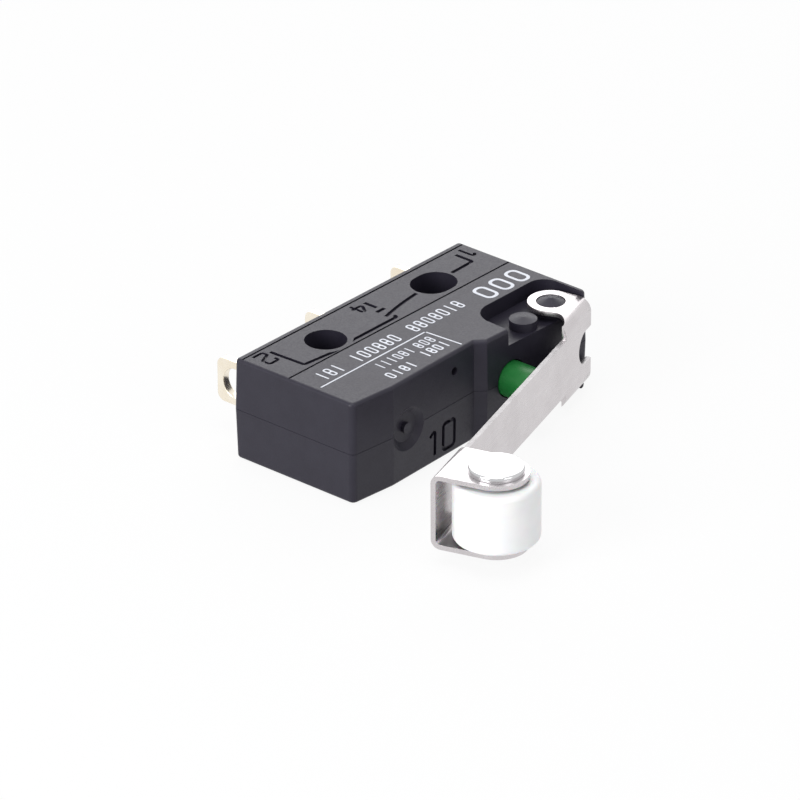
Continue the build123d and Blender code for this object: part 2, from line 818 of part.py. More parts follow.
pieces = {
    "cover": cover,
    "base_housing": base_housing,
    "common_terminal": common_terminal,
    "normally_closed_terminal": normally_closed_terminal,
    "normally_open_terminal": normally_open_terminal,
    "normally_closed_contact": normally_closed_contact,
    "normally_open_contact": normally_open_contact,
    "contact_arm": contact_arm,
    "moving_contact": moving_contact,
    "rocker": rocker,
    "snap_spring": snap_spring,
    "plunger": plunger,
    "lever": lever,
    "roller": roller,
    "roller_axle": roller_axle,
}
for name, piece in pieces.items():
    piece.part.label = name
    export_step(piece.part, f"parts/{name}.step")
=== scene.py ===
"""Looks of a small lever micro switch: moulded case, plated lugs, steel lever and nylon roller."""

import logging
import math
from dataclasses import dataclass
from enum import Enum

import bmesh
import bpy
from mathutils import Matrix, Vector


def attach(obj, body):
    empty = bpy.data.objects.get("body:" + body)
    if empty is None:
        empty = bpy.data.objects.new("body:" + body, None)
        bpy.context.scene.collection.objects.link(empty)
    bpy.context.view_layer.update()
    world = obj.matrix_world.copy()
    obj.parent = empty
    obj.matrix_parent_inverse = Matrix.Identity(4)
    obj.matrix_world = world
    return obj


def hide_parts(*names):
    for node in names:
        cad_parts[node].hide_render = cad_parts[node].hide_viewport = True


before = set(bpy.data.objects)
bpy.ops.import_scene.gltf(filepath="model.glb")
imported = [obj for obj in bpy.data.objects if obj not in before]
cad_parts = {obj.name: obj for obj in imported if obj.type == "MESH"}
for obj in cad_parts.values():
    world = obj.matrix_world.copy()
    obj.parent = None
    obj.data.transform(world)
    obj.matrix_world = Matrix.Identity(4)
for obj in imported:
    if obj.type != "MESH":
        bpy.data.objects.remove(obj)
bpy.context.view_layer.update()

logging.basicConfig(level=logging.INFO, format="%(levelname)s %(message)s")
log = logging.getLogger("lever_switch")

MM = 0.001
WHITE = (1.0, 1.0, 1.0, 1.0)

# Turn of the lever's strip from X, in degrees
LEVER_TILT = 17.1

# Middle part of a noise value that is mapped to a finish's range
NOISE_LOW = 0.3
NOISE_HIGH = 0.7

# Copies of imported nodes: distances in millimetres, angles in degrees
MERGE_DISTANCE = 0.0005
FLAT_ANGLE = 0.4
SHARP_ANGLE = 32.0
BEVEL_SEGMENTS = 2
FACE_WEIGHT = 100

# Places of the sockets that share a name: colour mix, and random whole number
MIX_FACTOR, MIX_FIRST, MIX_SECOND, MIX_RESULT = 0, 6, 7, 2
PICK_FIRST, PICK_LAST, PICK_RESULT = 4, 5, 2


class Mark(Enum):
    """Plain printed shapes that a row picks from: the first and last in ring, bar, double ring."""

    RING = (0, 0)
    ANY = (0, 2)


class Grain(Enum):
    """Direction of a surface's fine lines, as the stretch along each axis."""

    ALONG_X = (0.04, 1.0, 1.0)
    ALONG_Y = (1.0, 0.04, 1.0)
    NONE = (1.0, 1.0, 1.0)


# Finishes


@dataclass(frozen=True)
class Speckle:
    """One noise: cells per millimetre, number of finer layers and their strength."""

    cells: float
    layers: float
    strength: float


class ShaderSheet:
    """Small helper that adds and links the nodes of one procedural material."""

    def __init__(self, name: str) -> None:
        """Start an empty material with its Principled shader.

        Args:
            name: Name of the material.
        """
        self.material = bpy.data.materials.new(name)
        self.material.use_nodes = True
        self.tree = self.material.node_tree
        self.tree.nodes.clear()
        self.output = self.tree.nodes.new("ShaderNodeOutputMaterial")
        self.shader = self.tree.nodes.new("ShaderNodeBsdfPrincipled")
        self.link(self.shader.outputs["BSDF"], self.output.inputs["Surface"])
        self.coordinates = self.tree.nodes.new("ShaderNodeTexCoord").outputs["Object"]

    def link(self, source: bpy.types.NodeSocket, target: bpy.types.NodeSocket) -> None:
        """Link one socket to another."""
        self.tree.links.new(source, target)

    def stretched(self, grain: Grain = Grain.NONE, turn: float = 0.0) -> bpy.types.NodeSocket:
        """Object coordinates in millimetres, stretched along a grain.

        Args:
            grain: Direction of the grain.
            turn: Angle in degrees from X to the grain's first axis.

        Returns:
            The socket that carries the stretched coordinates.
        """
        mapping = self.tree.nodes.new("ShaderNodeMapping")
        mapping.vector_type = "TEXTURE"
        mapping.inputs["Rotation"].default_value = (0.0, 0.0, math.radians(turn))
        mapping.inputs["Scale"].default_value = tuple(MM / value for value in grain.value)
        self.link(self.coordinates, mapping.inputs["Vector"])
        return mapping.outputs["Vector"]

    def noise(self, vector: bpy.types.NodeSocket, speckle: Speckle) -> bpy.types.NodeSocket:
        """Noise texture of one size and fineness.

        Args:
            vector: Coordinates in millimetres.
            speckle: Size and fineness of the noise.

        Returns:
            The noise value socket.
        """
        node = self.tree.nodes.new("ShaderNodeTexNoise")
        node.inputs["Scale"].default_value = speckle.cells
        node.inputs["Detail"].default_value = speckle.layers
        node.inputs["Roughness"].default_value = speckle.strength
        self.link(vector, node.inputs["Vector"])
        return node.outputs["Fac"]

    def spread(self, value: bpy.types.NodeSocket, low: float, high: float) -> bpy.types.NodeSocket:
        """Map a noise value around one half to a range.

        Args:
            value: Noise value.
            low: Result at NOISE_LOW.
            high: Result at NOISE_HIGH.

        Returns:
            The mapped value socket.
        """
        node = self.tree.nodes.new("ShaderNodeMapRange")
        node.inputs["From Min"].default_value = NOISE_LOW
        node.inputs["From Max"].default_value = NOISE_HIGH
        node.inputs["To Min"].default_value = low
        node.inputs["To Max"].default_value = high
        self.link(value, node.inputs["Value"])
        return node.outputs["Result"]

    def blend(
        self,
        factor: bpy.types.NodeSocket,
        first: tuple[float, float, float],
        second: tuple[float, float, float],
    ) -> bpy.types.NodeSocket:
        """Mix two colours by a factor.

        Args:
            factor: Share of the second colour.
            first: Linear red, green and blue at 0.
            second: Linear red, green and blue at 1.

        Returns:
            The colour socket.
        """
        node = self.tree.nodes.new("ShaderNodeMix")
        node.data_type = "RGBA"
        node.inputs[MIX_FIRST].default_value = (*first, 1.0)
        node.inputs[MIX_SECOND].default_value = (*second, 1.0)
        self.link(factor, node.inputs[MIX_FACTOR])
        return node.outputs[MIX_RESULT]

    def bump(self, height: bpy.types.NodeSocket, depth: float, strength: float) -> None:
        """Send a height to the shader's normal.

        Args:
            height: Height value.
            depth: Depth of the relief in millimetres.
            strength: Share of the relief that shows.
        """
        node = self.tree.nodes.new("ShaderNodeBump")
        node.inputs["Strength"].default_value = strength
        node.inputs["Distance"].default_value = depth * MM
        self.link(height, node.inputs["Height"])
        self.link(node.outputs["Normal"], self.shader.inputs["Normal"])


@dataclass(frozen=True)
class MouldedPlastic:
    """Moulded plastic with a fine eroded texture and a slight mottle."""

    name: str
    shade: tuple[float, float, float]
    mottle: tuple[float, float, float]
    roughness: float = 0.5
    spread: float = 0.08
    texture_depth: float = 0.012
    strength: float = 0.35
    specular: float = 0.5
    texture_speckle: Speckle = Speckle(9.0, 3.0, 0.6)
    mottle_speckle: Speckle = Speckle(0.6, 4.0, 0.6)

    def build(self) -> bpy.types.Material:
        """Make the material.

        Returns:
            The finished material.
        """
        sheet = ShaderSheet(self.name)
        place = sheet.stretched()
        mottle = sheet.spread(sheet.noise(place, self.mottle_speckle), 0.0, 1.0)
        sheet.link(sheet.blend(mottle, self.shade, self.mottle), sheet.shader.inputs["Base Color"])
        grain = sheet.noise(place, self.texture_speckle)
        rough = sheet.spread(grain, self.roughness - self.spread, self.roughness + self.spread)
        sheet.link(rough, sheet.shader.inputs["Roughness"])
        sheet.shader.inputs["Specular IOR Level"].default_value = self.specular
        sheet.bump(grain, self.texture_depth, self.strength)
        return sheet.material


@dataclass(frozen=True)
class RolledMetal:
    """Rolled and stamped metal strip with fine lines and small stains."""

    name: str
    shade: tuple[float, float, float]
    stain: tuple[float, float, float]
    roughness: float = 0.26
    spread: float = 0.07
    grain: Grain = Grain.ALONG_X
    grain_depth: float = 0.003
    strength: float = 0.12
    turn: float = 0.0
    line_speckle: Speckle = Speckle(14.0, 2.0, 0.5)
    stain_speckle: Speckle = Speckle(0.5, 4.0, 0.65)

    def build(self) -> bpy.types.Material:
        """Make the material.

        Returns:
            The finished material.
        """
        sheet = ShaderSheet(self.name)
        sheet.shader.inputs["Metallic"].default_value = 1.0
        place = sheet.stretched()
        stain = sheet.spread(sheet.noise(place, self.stain_speckle), 0.0, 1.0)
        sheet.link(sheet.blend(stain, self.shade, self.stain), sheet.shader.inputs["Base Color"])
        lines = sheet.noise(sheet.stretched(self.grain, self.turn), self.line_speckle)
        rough = sheet.spread(lines, self.roughness - self.spread, self.roughness + self.spread)
        sheet.link(rough, sheet.shader.inputs["Roughness"])
        sheet.bump(lines, self.grain_depth, self.strength)
        return sheet.material


@dataclass(frozen=True)
class SoftNylon:
    """Milky turned or moulded nylon that lets a little light in."""

    name: str
    shade: tuple[float, float, float]
    mottle: tuple[float, float, float]
    smoothest: float = 0.38
    roughest: float = 0.5
    milkiness: float = 0.25
    depth: float = 0.25
    texture_depth: float = 0.004
    strength: float = 0.2
    cloud_speckle: Speckle = Speckle(0.8, 3.0, 0.5)
    texture_speckle: Speckle = Speckle(12.0, 2.0, 0.5)

    def build(self) -> bpy.types.Material:
        """Make the material.

        Returns:
            The finished material.
        """
        sheet = ShaderSheet(self.name)
        place = sheet.stretched()
        cloud = sheet.spread(sheet.noise(place, self.cloud_speckle), 0.0, 1.0)
        sheet.link(sheet.blend(cloud, self.shade, self.mottle), sheet.shader.inputs["Base Color"])
        grain = sheet.noise(place, self.texture_speckle)
        rough = sheet.spread(grain, self.smoothest, self.roughest)
        sheet.link(rough, sheet.shader.inputs["Roughness"])
        sheet.shader.inputs["Subsurface Weight"].default_value = self.milkiness
        sheet.shader.inputs["Subsurface Scale"].default_value = self.depth * MM
        sheet.bump(grain, self.texture_depth, self.strength)
        return sheet.material


class FinishRack:
    """Every finish of the switch, made once."""

    def __init__(self) -> None:
        """Build the finishes."""
        self.case = MouldedPlastic(
            "charcoal_case_plastic",
            (0.0170, 0.0150, 0.0250),
            (0.0220, 0.0200, 0.0315),
            roughness=0.43,
            specular=0.29,
        ).build()
        self.plunger = MouldedPlastic(
            "green_plunger_plastic",
            (0.007, 0.120, 0.022),
            (0.011, 0.145, 0.028),
            roughness=0.34,
            texture_depth=0.005,
            strength=0.2,
        ).build()
        self.ink = MouldedPlastic(
            "white_pad_print",
            (0.72, 0.74, 0.80),
            (0.60, 0.62, 0.68),
            roughness=0.55,
            texture_depth=0.006,
        ).build()
        self.roller = SoftNylon(
            "white_roller_nylon",
            (0.90, 0.90, 0.90),
            (0.86, 0.86, 0.87),
        ).build()
        self.lever = RolledMetal(
            "rolled_lever_steel",
            (0.64, 0.61, 0.62),
            (0.57, 0.54, 0.55),
            roughness=0.30,
            spread=0.05,
            grain=Grain.ALONG_X,
            grain_depth=0.002,
            strength=0.2,
            turn=LEVER_TILT,
        ).build()
        # Darker than the rolled steel: the rougher finish is real, and the darker colour is
        # painted shade that holds back the lamp's reflection on the lever's cut rims.
        self.cut_edge_shaded = RolledMetal(
            "cut_edge_steel_painted_shade",
            (0.34, 0.33, 0.335),
            (0.26, 0.25, 0.255),
            roughness=0.42,
            spread=0.08,
            grain=Grain.NONE,
            line_speckle=Speckle(9.0, 2.0, 0.5),
            strength=0.35,
        ).build()
        self.axle = RolledMetal(
            "turned_axle_steel",
            (0.60, 0.60, 0.61),
            (0.54, 0.54, 0.55),
            roughness=0.16,
            spread=0.05,
            grain=Grain.NONE,
        ).build()
        self.lug = RolledMetal(
            "plated_lug_brass",
            (0.93, 0.87, 0.76),
            (0.87, 0.78, 0.63),
            roughness=0.24,
            grain=Grain.ALONG_Y,
        ).build()
        self.bronze = RolledMetal(
            "spring_bronze_strip",
            (0.80, 0.52, 0.32),
            (0.70, 0.43, 0.26),
            roughness=0.3,
        ).build()
        self.silver = RolledMetal(
            "silver_contact",
            (0.93, 0.92, 0.89),
            (0.86, 0.84, 0.80),
            roughness=0.2,
            grain=Grain.NONE,
        ).build()
        self.wire = RolledMetal(
            "drawn_spring_wire",
            (0.62, 0.62, 0.63),
            (0.52, 0.52, 0.54),
            roughness=0.24,
        ).build()


# Mesh helpers


def softened_copy(node: str, name: str, width: float) -> bpy.types.Object:
    """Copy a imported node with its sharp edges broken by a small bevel.

    Args:
        node: Name of the node to copy.
        name: Name of the new piece.
        width: Width of the bevel in millimetres.

    Returns:
        The new object, at the origin, not yet riding on a body.
    """
    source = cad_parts[node]
    work = bmesh.new()
    work.from_mesh(source.data)
    bmesh.ops.remove_doubles(work, verts=work.verts, dist=MERGE_DISTANCE * MM)
    bmesh.ops.dissolve_limit(
        work, angle_limit=math.radians(FLAT_ANGLE), verts=work.verts, edges=work.edges
    )
    mesh = bpy.data.meshes.new(name)
    work.to_mesh(mesh)
    work.free()
    mesh.shade_smooth()
    piece = bpy.data.objects.new(name, mesh)
    bpy.context.scene.collection.objects.link(piece)
    bevel = piece.modifiers.new("broken_edges", "BEVEL")
    bevel.width = width * MM
    bevel.segments = BEVEL_SEGMENTS
    bevel.limit_method = "ANGLE"
    bevel.angle_limit = math.radians(SHARP_ANGLE)
    bevel.use_clamp_overlap = True
    flats = piece.modifiers.new("flat_faces_first", "WEIGHTED_NORMAL")
    flats.mode = "FACE_AREA"
    flats.weight = FACE_WEIGHT
    return baked(piece)


def baked(piece: bpy.types.Object) -> bpy.types.Object:
    """Turn a piece's live modifiers into its mesh.

    Args:
        piece: Object with modifiers.

    Returns:
        The same object with a plain mesh.
    """
    graph = bpy.context.evaluated_depsgraph_get()
    mesh = bpy.data.meshes.new_from_object(piece.evaluated_get(graph))
    piece.modifiers.clear()
    old = piece.data
    piece.data = mesh
    mesh.name = piece.name
    if isinstance(old, bpy.types.Mesh) and old.users == 0:
        bpy.data.meshes.remove(old)
    return piece


def dress(piece: bpy.types.Object, finish: bpy.types.Material) -> None:
    """Give a piece one finish all over."""
    piece.data.materials.clear()
    piece.data.materials.append(finish)


class ShapeTree:
    """Small helper that builds one Geometry Nodes tree with named inputs."""

    def __init__(self, name: str) -> None:
        """Start a tree with a geometry input and a geometry output.

        Args:
            name: Name of the tree.
        """
        self.tree = bpy.data.node_groups.new(name, "GeometryNodeTree")
        self.sockets: dict[str, str] = {}
        for way in ("OUTPUT", "INPUT"):
            self.tree.interface.new_socket(
                "Geometry", in_out=way, socket_type="NodeSocketGeometry"
            )
        self.source = self.tree.nodes.new("NodeGroupInput")
        self.end = self.tree.nodes.new("NodeGroupOutput")

    def size(self, name: str, kind: str = "NodeSocketFloat") -> bpy.types.NodeSocket:
        """Add a named input and remember its identifier.

        Args:
            name: Name of the input.
            kind: Socket type.

        Returns:
            The input's socket inside the tree.
        """
        item = self.tree.interface.new_socket(name, in_out="INPUT", socket_type=kind)
        self.sockets[name] = item.identifier
        return self.source.outputs[name]

    def node(self, kind: str, **inputs: object) -> bpy.types.Node:
        """Add a node and fill its inputs by name, with underscores for spaces.

        Args:
            kind: Node type.
            inputs: A socket to link, or a plain value, for each named input.

        Returns:
            The new node.
        """
        node = self.tree.nodes.new(kind)
        for label, value in inputs.items():
            self.fill(node.inputs[label.replace("_", " ")], value)
        return node

    def fill(self, target: bpy.types.NodeSocket, value: object) -> None:
        """Link a socket to an input, or set the input's own value.

        Args:
            target: Input to fill.
            value: A socket to link, or a plain value.
        """
        if isinstance(value, bpy.types.NodeSocket):
            self.tree.links.new(value, target)
        else:
            target.default_value = value

    def sums(self, how: str, first: object, second: object) -> bpy.types.NodeSocket:
        """Work out one number from two.

        Args:
            how: Operation of the Math node.
            first: First socket or number.
            second: Second socket or number.

        Returns:
            The result's socket.
        """
        node = self.tree.nodes.new("ShaderNodeMath")
        node.operation = how
        self.fill(node.inputs[0], first)
        self.fill(node.inputs[1], second)
        return node.outputs[0]

    def joined(self, parts: list[bpy.types.NodeSocket]) -> bpy.types.NodeSocket:
        """Join geometries, which keep the order of the list.

        Args:
            parts: Geometry sockets.

        Returns:
            The joined geometry's socket.
        """
        node = self.tree.nodes.new("GeometryNodeJoinGeometry")
        for part in reversed(parts):
            self.tree.links.new(part, node.inputs[0])
        return node.outputs[0]

    def finish(self, shape: bpy.types.NodeSocket, finish: bpy.types.Material) -> None:
        """End the tree in Realize Instances and Set Material.

        Args:
            shape: Geometry of the whole shape.
            finish: Material of every face.
        """
        real = self.node("GeometryNodeRealizeInstances", Geometry=shape)
        coated = self.node("GeometryNodeSetMaterial", Geometry=real.outputs[0], Material=finish)
        self.tree.links.new(coated.outputs[0], self.end.inputs[0])

    def grow(self, name: str, values: dict[str, float], place: Matrix) -> bpy.types.Mesh:
        """Run the tree once and give its plain mesh in metres.

        Args:
            name: Name of the mesh.
            values: Value of each named input.
            place: Place of the shape, in millimetres.

        Returns:
            The finished mesh, with its place applied.
        """
        holder = bpy.data.objects.new(name, bpy.data.meshes.new(f"{name}_seed"))
        bpy.context.scene.collection.objects.link(holder)
        modifier = holder.modifiers.new("shape", "NODES")
        modifier.node_group = self.tree
        for label, value in values.items():
            modifier[self.sockets[label]] = value
        graph = bpy.context.evaluated_depsgraph_get()
        mesh = bpy.data.meshes.new_from_object(holder.evaluated_get(graph))
        holder.modifiers.clear()
        bpy.data.objects.remove(holder)
        mesh.transform(Matrix.Scale(MM, 4) @ place)
        return mesh


def one_piece(name: str, meshes: list[bpy.types.Mesh]) -> bpy.types.Object:
    """Put several meshes into one object at the origin.

    Args:
        name: Name of the piece.
        meshes: Finished meshes with the same material.

    Returns:
        The new object.
    """
    work = bmesh.new()
    for mesh in meshes:
        work.from_mesh(mesh)
    whole = bpy.data.meshes.new(name)
    work.to_mesh(whole)
    work.free()
    for material in meshes[0].materials:
        whole.materials.append(material)
    piece = bpy.data.objects.new(name, whole)
    bpy.context.scene.collection.objects.link(piece)
    return piece


# Sub-assemblies


@dataclass(frozen=True)
class PrintRow:
    """One row of plain printed rings and bars, in millimetres, from its first mark toward -X."""

    first: tuple[float, float]
    count: int
    pitch: float
    height: float
    width: float
    stroke: float
    seed: int = 0
    mark: Mark = Mark.ANY

    def values(self, thickness: float) -> dict[str, float]:
        """Values for the named inputs of the row's tree.

        Args:
            thickness: Thickness of the ink.

        Returns:
            The value of each input.
        """
        first_mark, last_mark = self.mark.value
        return {
            "Count": self.count,
            "Pitch": self.pitch,
            "Height": self.height,
            "Width": self.width,
            "Stroke": self.stroke,
            "Thickness": thickness,
            "Seed": self.seed,
            "First Mark": first_mark,
            "Last Mark": last_mark,
        }


@dataclass
class PadPrint:
    """White ink on the upper face: plain rows of rings and bars, and a ruled line."""

    face: float = 6.4
    thickness: float = 0.008
    sunk: float = 0.003
    rows: tuple[PrintRow, ...] = (
        PrintRow((8.3, -2.85), 7, 0.66, 0.98, 0.43, 0.11, seed=3),
        PrintRow((2.7, -2.85), 6, 0.66, 0.98, 0.43, 0.11, seed=6),
        PrintRow((-2.2, -2.85), 3, 0.66, 0.98, 0.43, 0.11, seed=5),
        PrintRow((3.9, -4.52), 3, 0.51, 0.76, 0.34, 0.09, seed=2),
        PrintRow((2.1, -4.52), 6, 0.51, 0.76, 0.34, 0.09, seed=9),
        PrintRow((0.85, -5.75), 4, 0.60, 0.78, 0.40, 0.11, seed=5),
        PrintRow((4.0, -5.50), 4, 0.55, 0.78, 0.38, 0.11, seed=12),
        PrintRow((13.35, -3.10), 3, 1.42, 1.60, 1.02, 0.20, mark=Mark.RING),
    )
    rule: tuple[tuple[float, float], ...] = ((-4.57, -3.70), (4.44, -3.70), (4.61, -6.25))
    rule_width: float = 0.10
    corner_share: float = 0.42
    corner_steps: int = 4

    def build(self, finishes: FinishRack) -> None:
        """Print the rows and the ruled line as one thin piece.

        Args:
            finishes: The rack of finishes.
        """
        row_tree = self.row_tree(finishes.ink)
        rule_tree = self.rule_tree(finishes.ink)
        meshes = [
            row_tree.grow(f"print_row_{number}", row.values(self.thickness), self.place(row.first))
            for number, row in enumerate(self.rows)
        ]
        for start, end in zip(self.rule, self.rule[1:]):
            run = Vector(end) - Vector(start)
            turn = Matrix.Rotation(math.atan2(run.y, run.x), 4, "Z")
            values = {
                "Length": run.length + self.rule_width,
                "Width": self.rule_width,
                "Thickness": self.thickness,
            }
            middle = (Vector(start) + Vector(end)) / 2
            meshes.append(rule_tree.grow("print_rule", values, self.place(tuple(middle)) @ turn))
        piece = one_piece("pad_print", meshes)
        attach(piece, "housing")
        log.info("%s: %d faces", piece.name, len(piece.data.polygons))

    def place(self, spot: tuple[float, float]) -> Matrix:
        """Place of a mark on the upper face, with its ink a little below the surface."""
        return Matrix.Translation((spot[0], spot[1], self.face - self.sunk))

    @staticmethod
    def inked(
        tree: ShapeTree, flat: bpy.types.NodeSocket, thickness: bpy.types.NodeSocket
    ) -> bpy.types.NodeSocket:
        """Give flat marks a thickness and close them underneath.

        Args:
            tree: Tree to add to.
            flat: Flat faces that look up.
            thickness: Thickness of the ink.

        Returns:
            The closed geometry's socket.
        """
        raised = tree.node("GeometryNodeExtrudeMesh", Mesh=flat, Offset_Scale=thickness)
        raised.inputs["Individual"].default_value = False
        under = tree.node("GeometryNodeFlipFaces", Mesh=flat)
        both = tree.joined([raised.outputs["Mesh"], under.outputs[0]])
        closed = tree.node(
            "GeometryNodeMergeByDistance", Geometry=both, Distance=MERGE_DISTANCE
        )
        return closed.outputs[0]

    def row_tree(self, finish: bpy.types.Material) -> ShapeTree:
        """Build the tree that repeats plain marks along a row.

        Args:
            finish: The ink.

        Returns:
            The finished tree.
        """
        tree = ShapeTree("print_row_marks")
        count = tree.size("Count", "NodeSocketInt")
        pitch = tree.size("Pitch")
        height = tree.size("Height")
        width = tree.size("Width")
        stroke = tree.size("Stroke")
        thickness = tree.size("Thickness")
        seed = tree.size("Seed", "NodeSocketInt")
        first_mark = tree.size("First Mark", "NodeSocketInt")
        last_mark = tree.size("Last Mark", "NodeSocketInt")
        inner_width = tree.sums("SUBTRACT", width, tree.sums("MULTIPLY", stroke, 2.0))
        inner_height = tree.sums("SUBTRACT", height, tree.sums("MULTIPLY", stroke, 2.0))
        half_height = tree.sums("MULTIPLY", tree.sums("SUBTRACT", inner_height, stroke), 0.5)
        shift = tree.sums("MULTIPLY", tree.sums("ADD", half_height, stroke), 0.5)
        ring = self.filled(
            tree,
            [
                self.rounded(tree, width, height),
                self.rounded(tree, inner_width, inner_height),
            ],
        )
        bar = self.filled(tree, [self.block(tree, stroke, height)])
        double_ring = self.filled(
            tree,
            [
                self.rounded(tree, width, height),
                self.moved(tree, self.rounded(tree, inner_width, half_height), shift, 1.0),
                self.moved(tree, self.rounded(tree, inner_width, half_height), shift, -1.0),
            ],
        )
        marks = [
            tree.node("GeometryNodeGeometryToInstance", Geometry=mark).outputs[0]
            for mark in (ring, bar, double_ring)
        ]
        line = tree.node("GeometryNodeMeshLine", Count=count)
        step = tree.node("ShaderNodeCombineXYZ", X=tree.sums("MULTIPLY", pitch, -1.0))
        tree.fill(line.inputs["Offset"], step.outputs[0])
        pick = tree.tree.nodes.new("FunctionNodeRandomValue")
        pick.data_type = "INT"
        tree.fill(pick.inputs[PICK_FIRST], first_mark)
        tree.fill(pick.inputs[PICK_LAST], last_mark)
        tree.fill(pick.inputs["Seed"], seed)
        row = tree.node(
            "GeometryNodeInstanceOnPoints",
            Points=line.outputs[0],
            Instance=tree.joined(marks),
        )
        row.inputs["Pick Instance"].default_value = True
        tree.fill(row.inputs["Instance Index"], pick.outputs[PICK_RESULT])
        flat = tree.node("GeometryNodeRealizeInstances", Geometry=row.outputs[0]).outputs[0]
        tree.finish(self.inked(tree, flat, thickness), finish)
        return tree

    def rule_tree(self, finish: bpy.types.Material) -> ShapeTree:
        """Build the tree of one straight run of the ruled line.

        Args:
            finish: The ink.

        Returns:
            The finished tree.
        """
        tree = ShapeTree("print_rule_run")
        length = tree.size("Length")
        width = tree.size("Width")
        thickness = tree.size("Thickness")
        run = self.filled(tree, [self.block(tree, length, width)])
        tree.finish(self.inked(tree, run, thickness), finish)
        return tree

    @staticmethod
    def block(
        tree: ShapeTree, width: bpy.types.NodeSocket, height: bpy.types.NodeSocket
    ) -> bpy.types.NodeSocket:
        """Outline of a plain rectangle around the origin."""
        kind = "GeometryNodeCurvePrimitiveQuadrilateral"
        return tree.node(kind, Width=width, Height=height).outputs[0]

    def rounded(
        self, tree: ShapeTree, width: bpy.types.NodeSocket, height: bpy.types.NodeSocket
    ) -> bpy.types.NodeSocket:
        """Outline of an upright rectangle with well rounded corners, around the origin.

        Args:
            tree: Tree to add to.
            width: Width of the outline.
            height: Height of the outline.

        Returns:
            The outline's socket.
        """
        fillet = tree.tree.nodes.new("GeometryNodeFilletCurve")
        fillet.mode = "POLY"
        tree.fill(fillet.inputs["Curve"], self.block(tree, width, height))
        tree.fill(fillet.inputs["Count"], self.corner_steps)
        tree.fill(fillet.inputs["Radius"], tree.sums("MULTIPLY", width, self.corner_share))
        return fillet.outputs[0]

    @staticmethod
    def moved(
        tree: ShapeTree, outline: bpy.types.NodeSocket, shift: bpy.types.NodeSocket, way: float
    ) -> bpy.types.NodeSocket:
        """Move an outline up or down the mark.

        Args:
            tree: Tree to add to.
            outline: The outline.
            shift: Distance.
            way: 1 for up, -1 for down.

        Returns:
            The moved outline's socket.
        """
        step = tree.node("ShaderNodeCombineXYZ", Y=tree.sums("MULTIPLY", shift, way))
        return tree.node(
            "GeometryNodeTransform", Geometry=outline, Translation=step.outputs[0]
        ).outputs[0]

    @staticmethod
    def filled(tree: ShapeTree, outlines: list[bpy.types.NodeSocket]) -> bpy.types.NodeSocket:
        """Fill the first outline, with the others as its openings."""
        return tree.node("GeometryNodeFillCurve", Curve=tree.joined(outlines)).outputs[0]


@dataclass
class CaseHalves:
    """The two moulded halves of the case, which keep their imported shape."""

    nodes: tuple[str, ...] = ("cover", "base_housing")

    def build(self, finishes: FinishRack) -> None:
        """Dress both halves.

        Args:
            finishes: The rack of finishes.
        """
        for node in self.nodes:
            dress(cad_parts[node], finishes.case)
            log.info("case half %s dressed", node)


@dataclass
class StampedParts:
    """Rigid metal and plastic pieces whose cut edges get a fine broken edge."""

    edge: float = 0.03
    strip_low: float = 1.2
    strip_high: float = 5.4
    rim_slope: float = 0.9

    def build(self, finishes: FinishRack) -> None:
        """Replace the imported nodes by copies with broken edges.

        Args:
            finishes: The rack of finishes.
        """
        plan = (
            ("lever", "lever", finishes.lever, "lever_steel", self.edge),
            ("roller_axle", "lever", finishes.axle, "axle_steel", self.edge),
            ("roller", "roller", finishes.roller, "roller", self.edge),
            ("common_terminal", "housing", finishes.lug, "terminals", self.edge),
            ("normally_closed_terminal", "housing", finishes.lug, "terminals", self.edge),
            ("normally_open_terminal", "housing", finishes.lug, "terminals", self.edge),
            ("normally_closed_contact", "housing", finishes.silver, "contacts", self.edge),
            ("normally_open_contact", "housing", finishes.silver, "contacts", self.edge),
            ("contact_arm", "contact_arm", finishes.bronze, "spring_bronze", self.edge / 2),
            ("moving_contact", "contact_arm", finishes.silver, "contacts", self.edge),
            ("rocker", "rocker", finishes.bronze, "spring_bronze", self.edge / 2),
        )
        for node, body, finish, slot, width in plan:
            piece = softened_copy(node, f"{node}_finished", width)
            dress(piece, finish)
            if node == "lever":
                self.dull_and_shade_cut_edges(piece, finishes.cut_edge_shaded)
            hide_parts(node)
            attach(piece, body)
            log.info("%s: %d faces", piece.name, len(piece.data.polygons))
        dress(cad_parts["plunger"], finishes.plunger)
        dress(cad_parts["snap_spring"], finishes.wire)

    def dull_and_shade_cut_edges(self, lever: bpy.types.Object, finish: bpy.types.Material) -> None:
        """Give the cut rims of the folded strip a rougher finish than its rolled faces, and a
        darker colour that is painted shade against the lamp's reflection on them.

        Args:
            lever: The folded strip, with its place in its mesh.
            finish: Finish of a cut edge, with painted shade in its colour.
        """
        lever.data.materials.append(finish)
        rim_slot = len(lever.data.materials) - 1
        for face in lever.data.polygons:
            height = face.center.z / MM
            # Faces that look straight up or down within the strip's height are its cut rims; they
            # get the darker colour, which is painted shade against the lamp's reflection.
            if self.strip_low < height < self.strip_high and abs(face.normal.z) > self.rim_slope:
                face.material_index = rim_slot


# Stage


@dataclass(frozen=True)
class Panel:
    """One soft rectangular lamp: centre and size in millimetres, power in watts."""

    name: str
    place: tuple[float, float, float]
    size: tuple[float, float]
    power: float


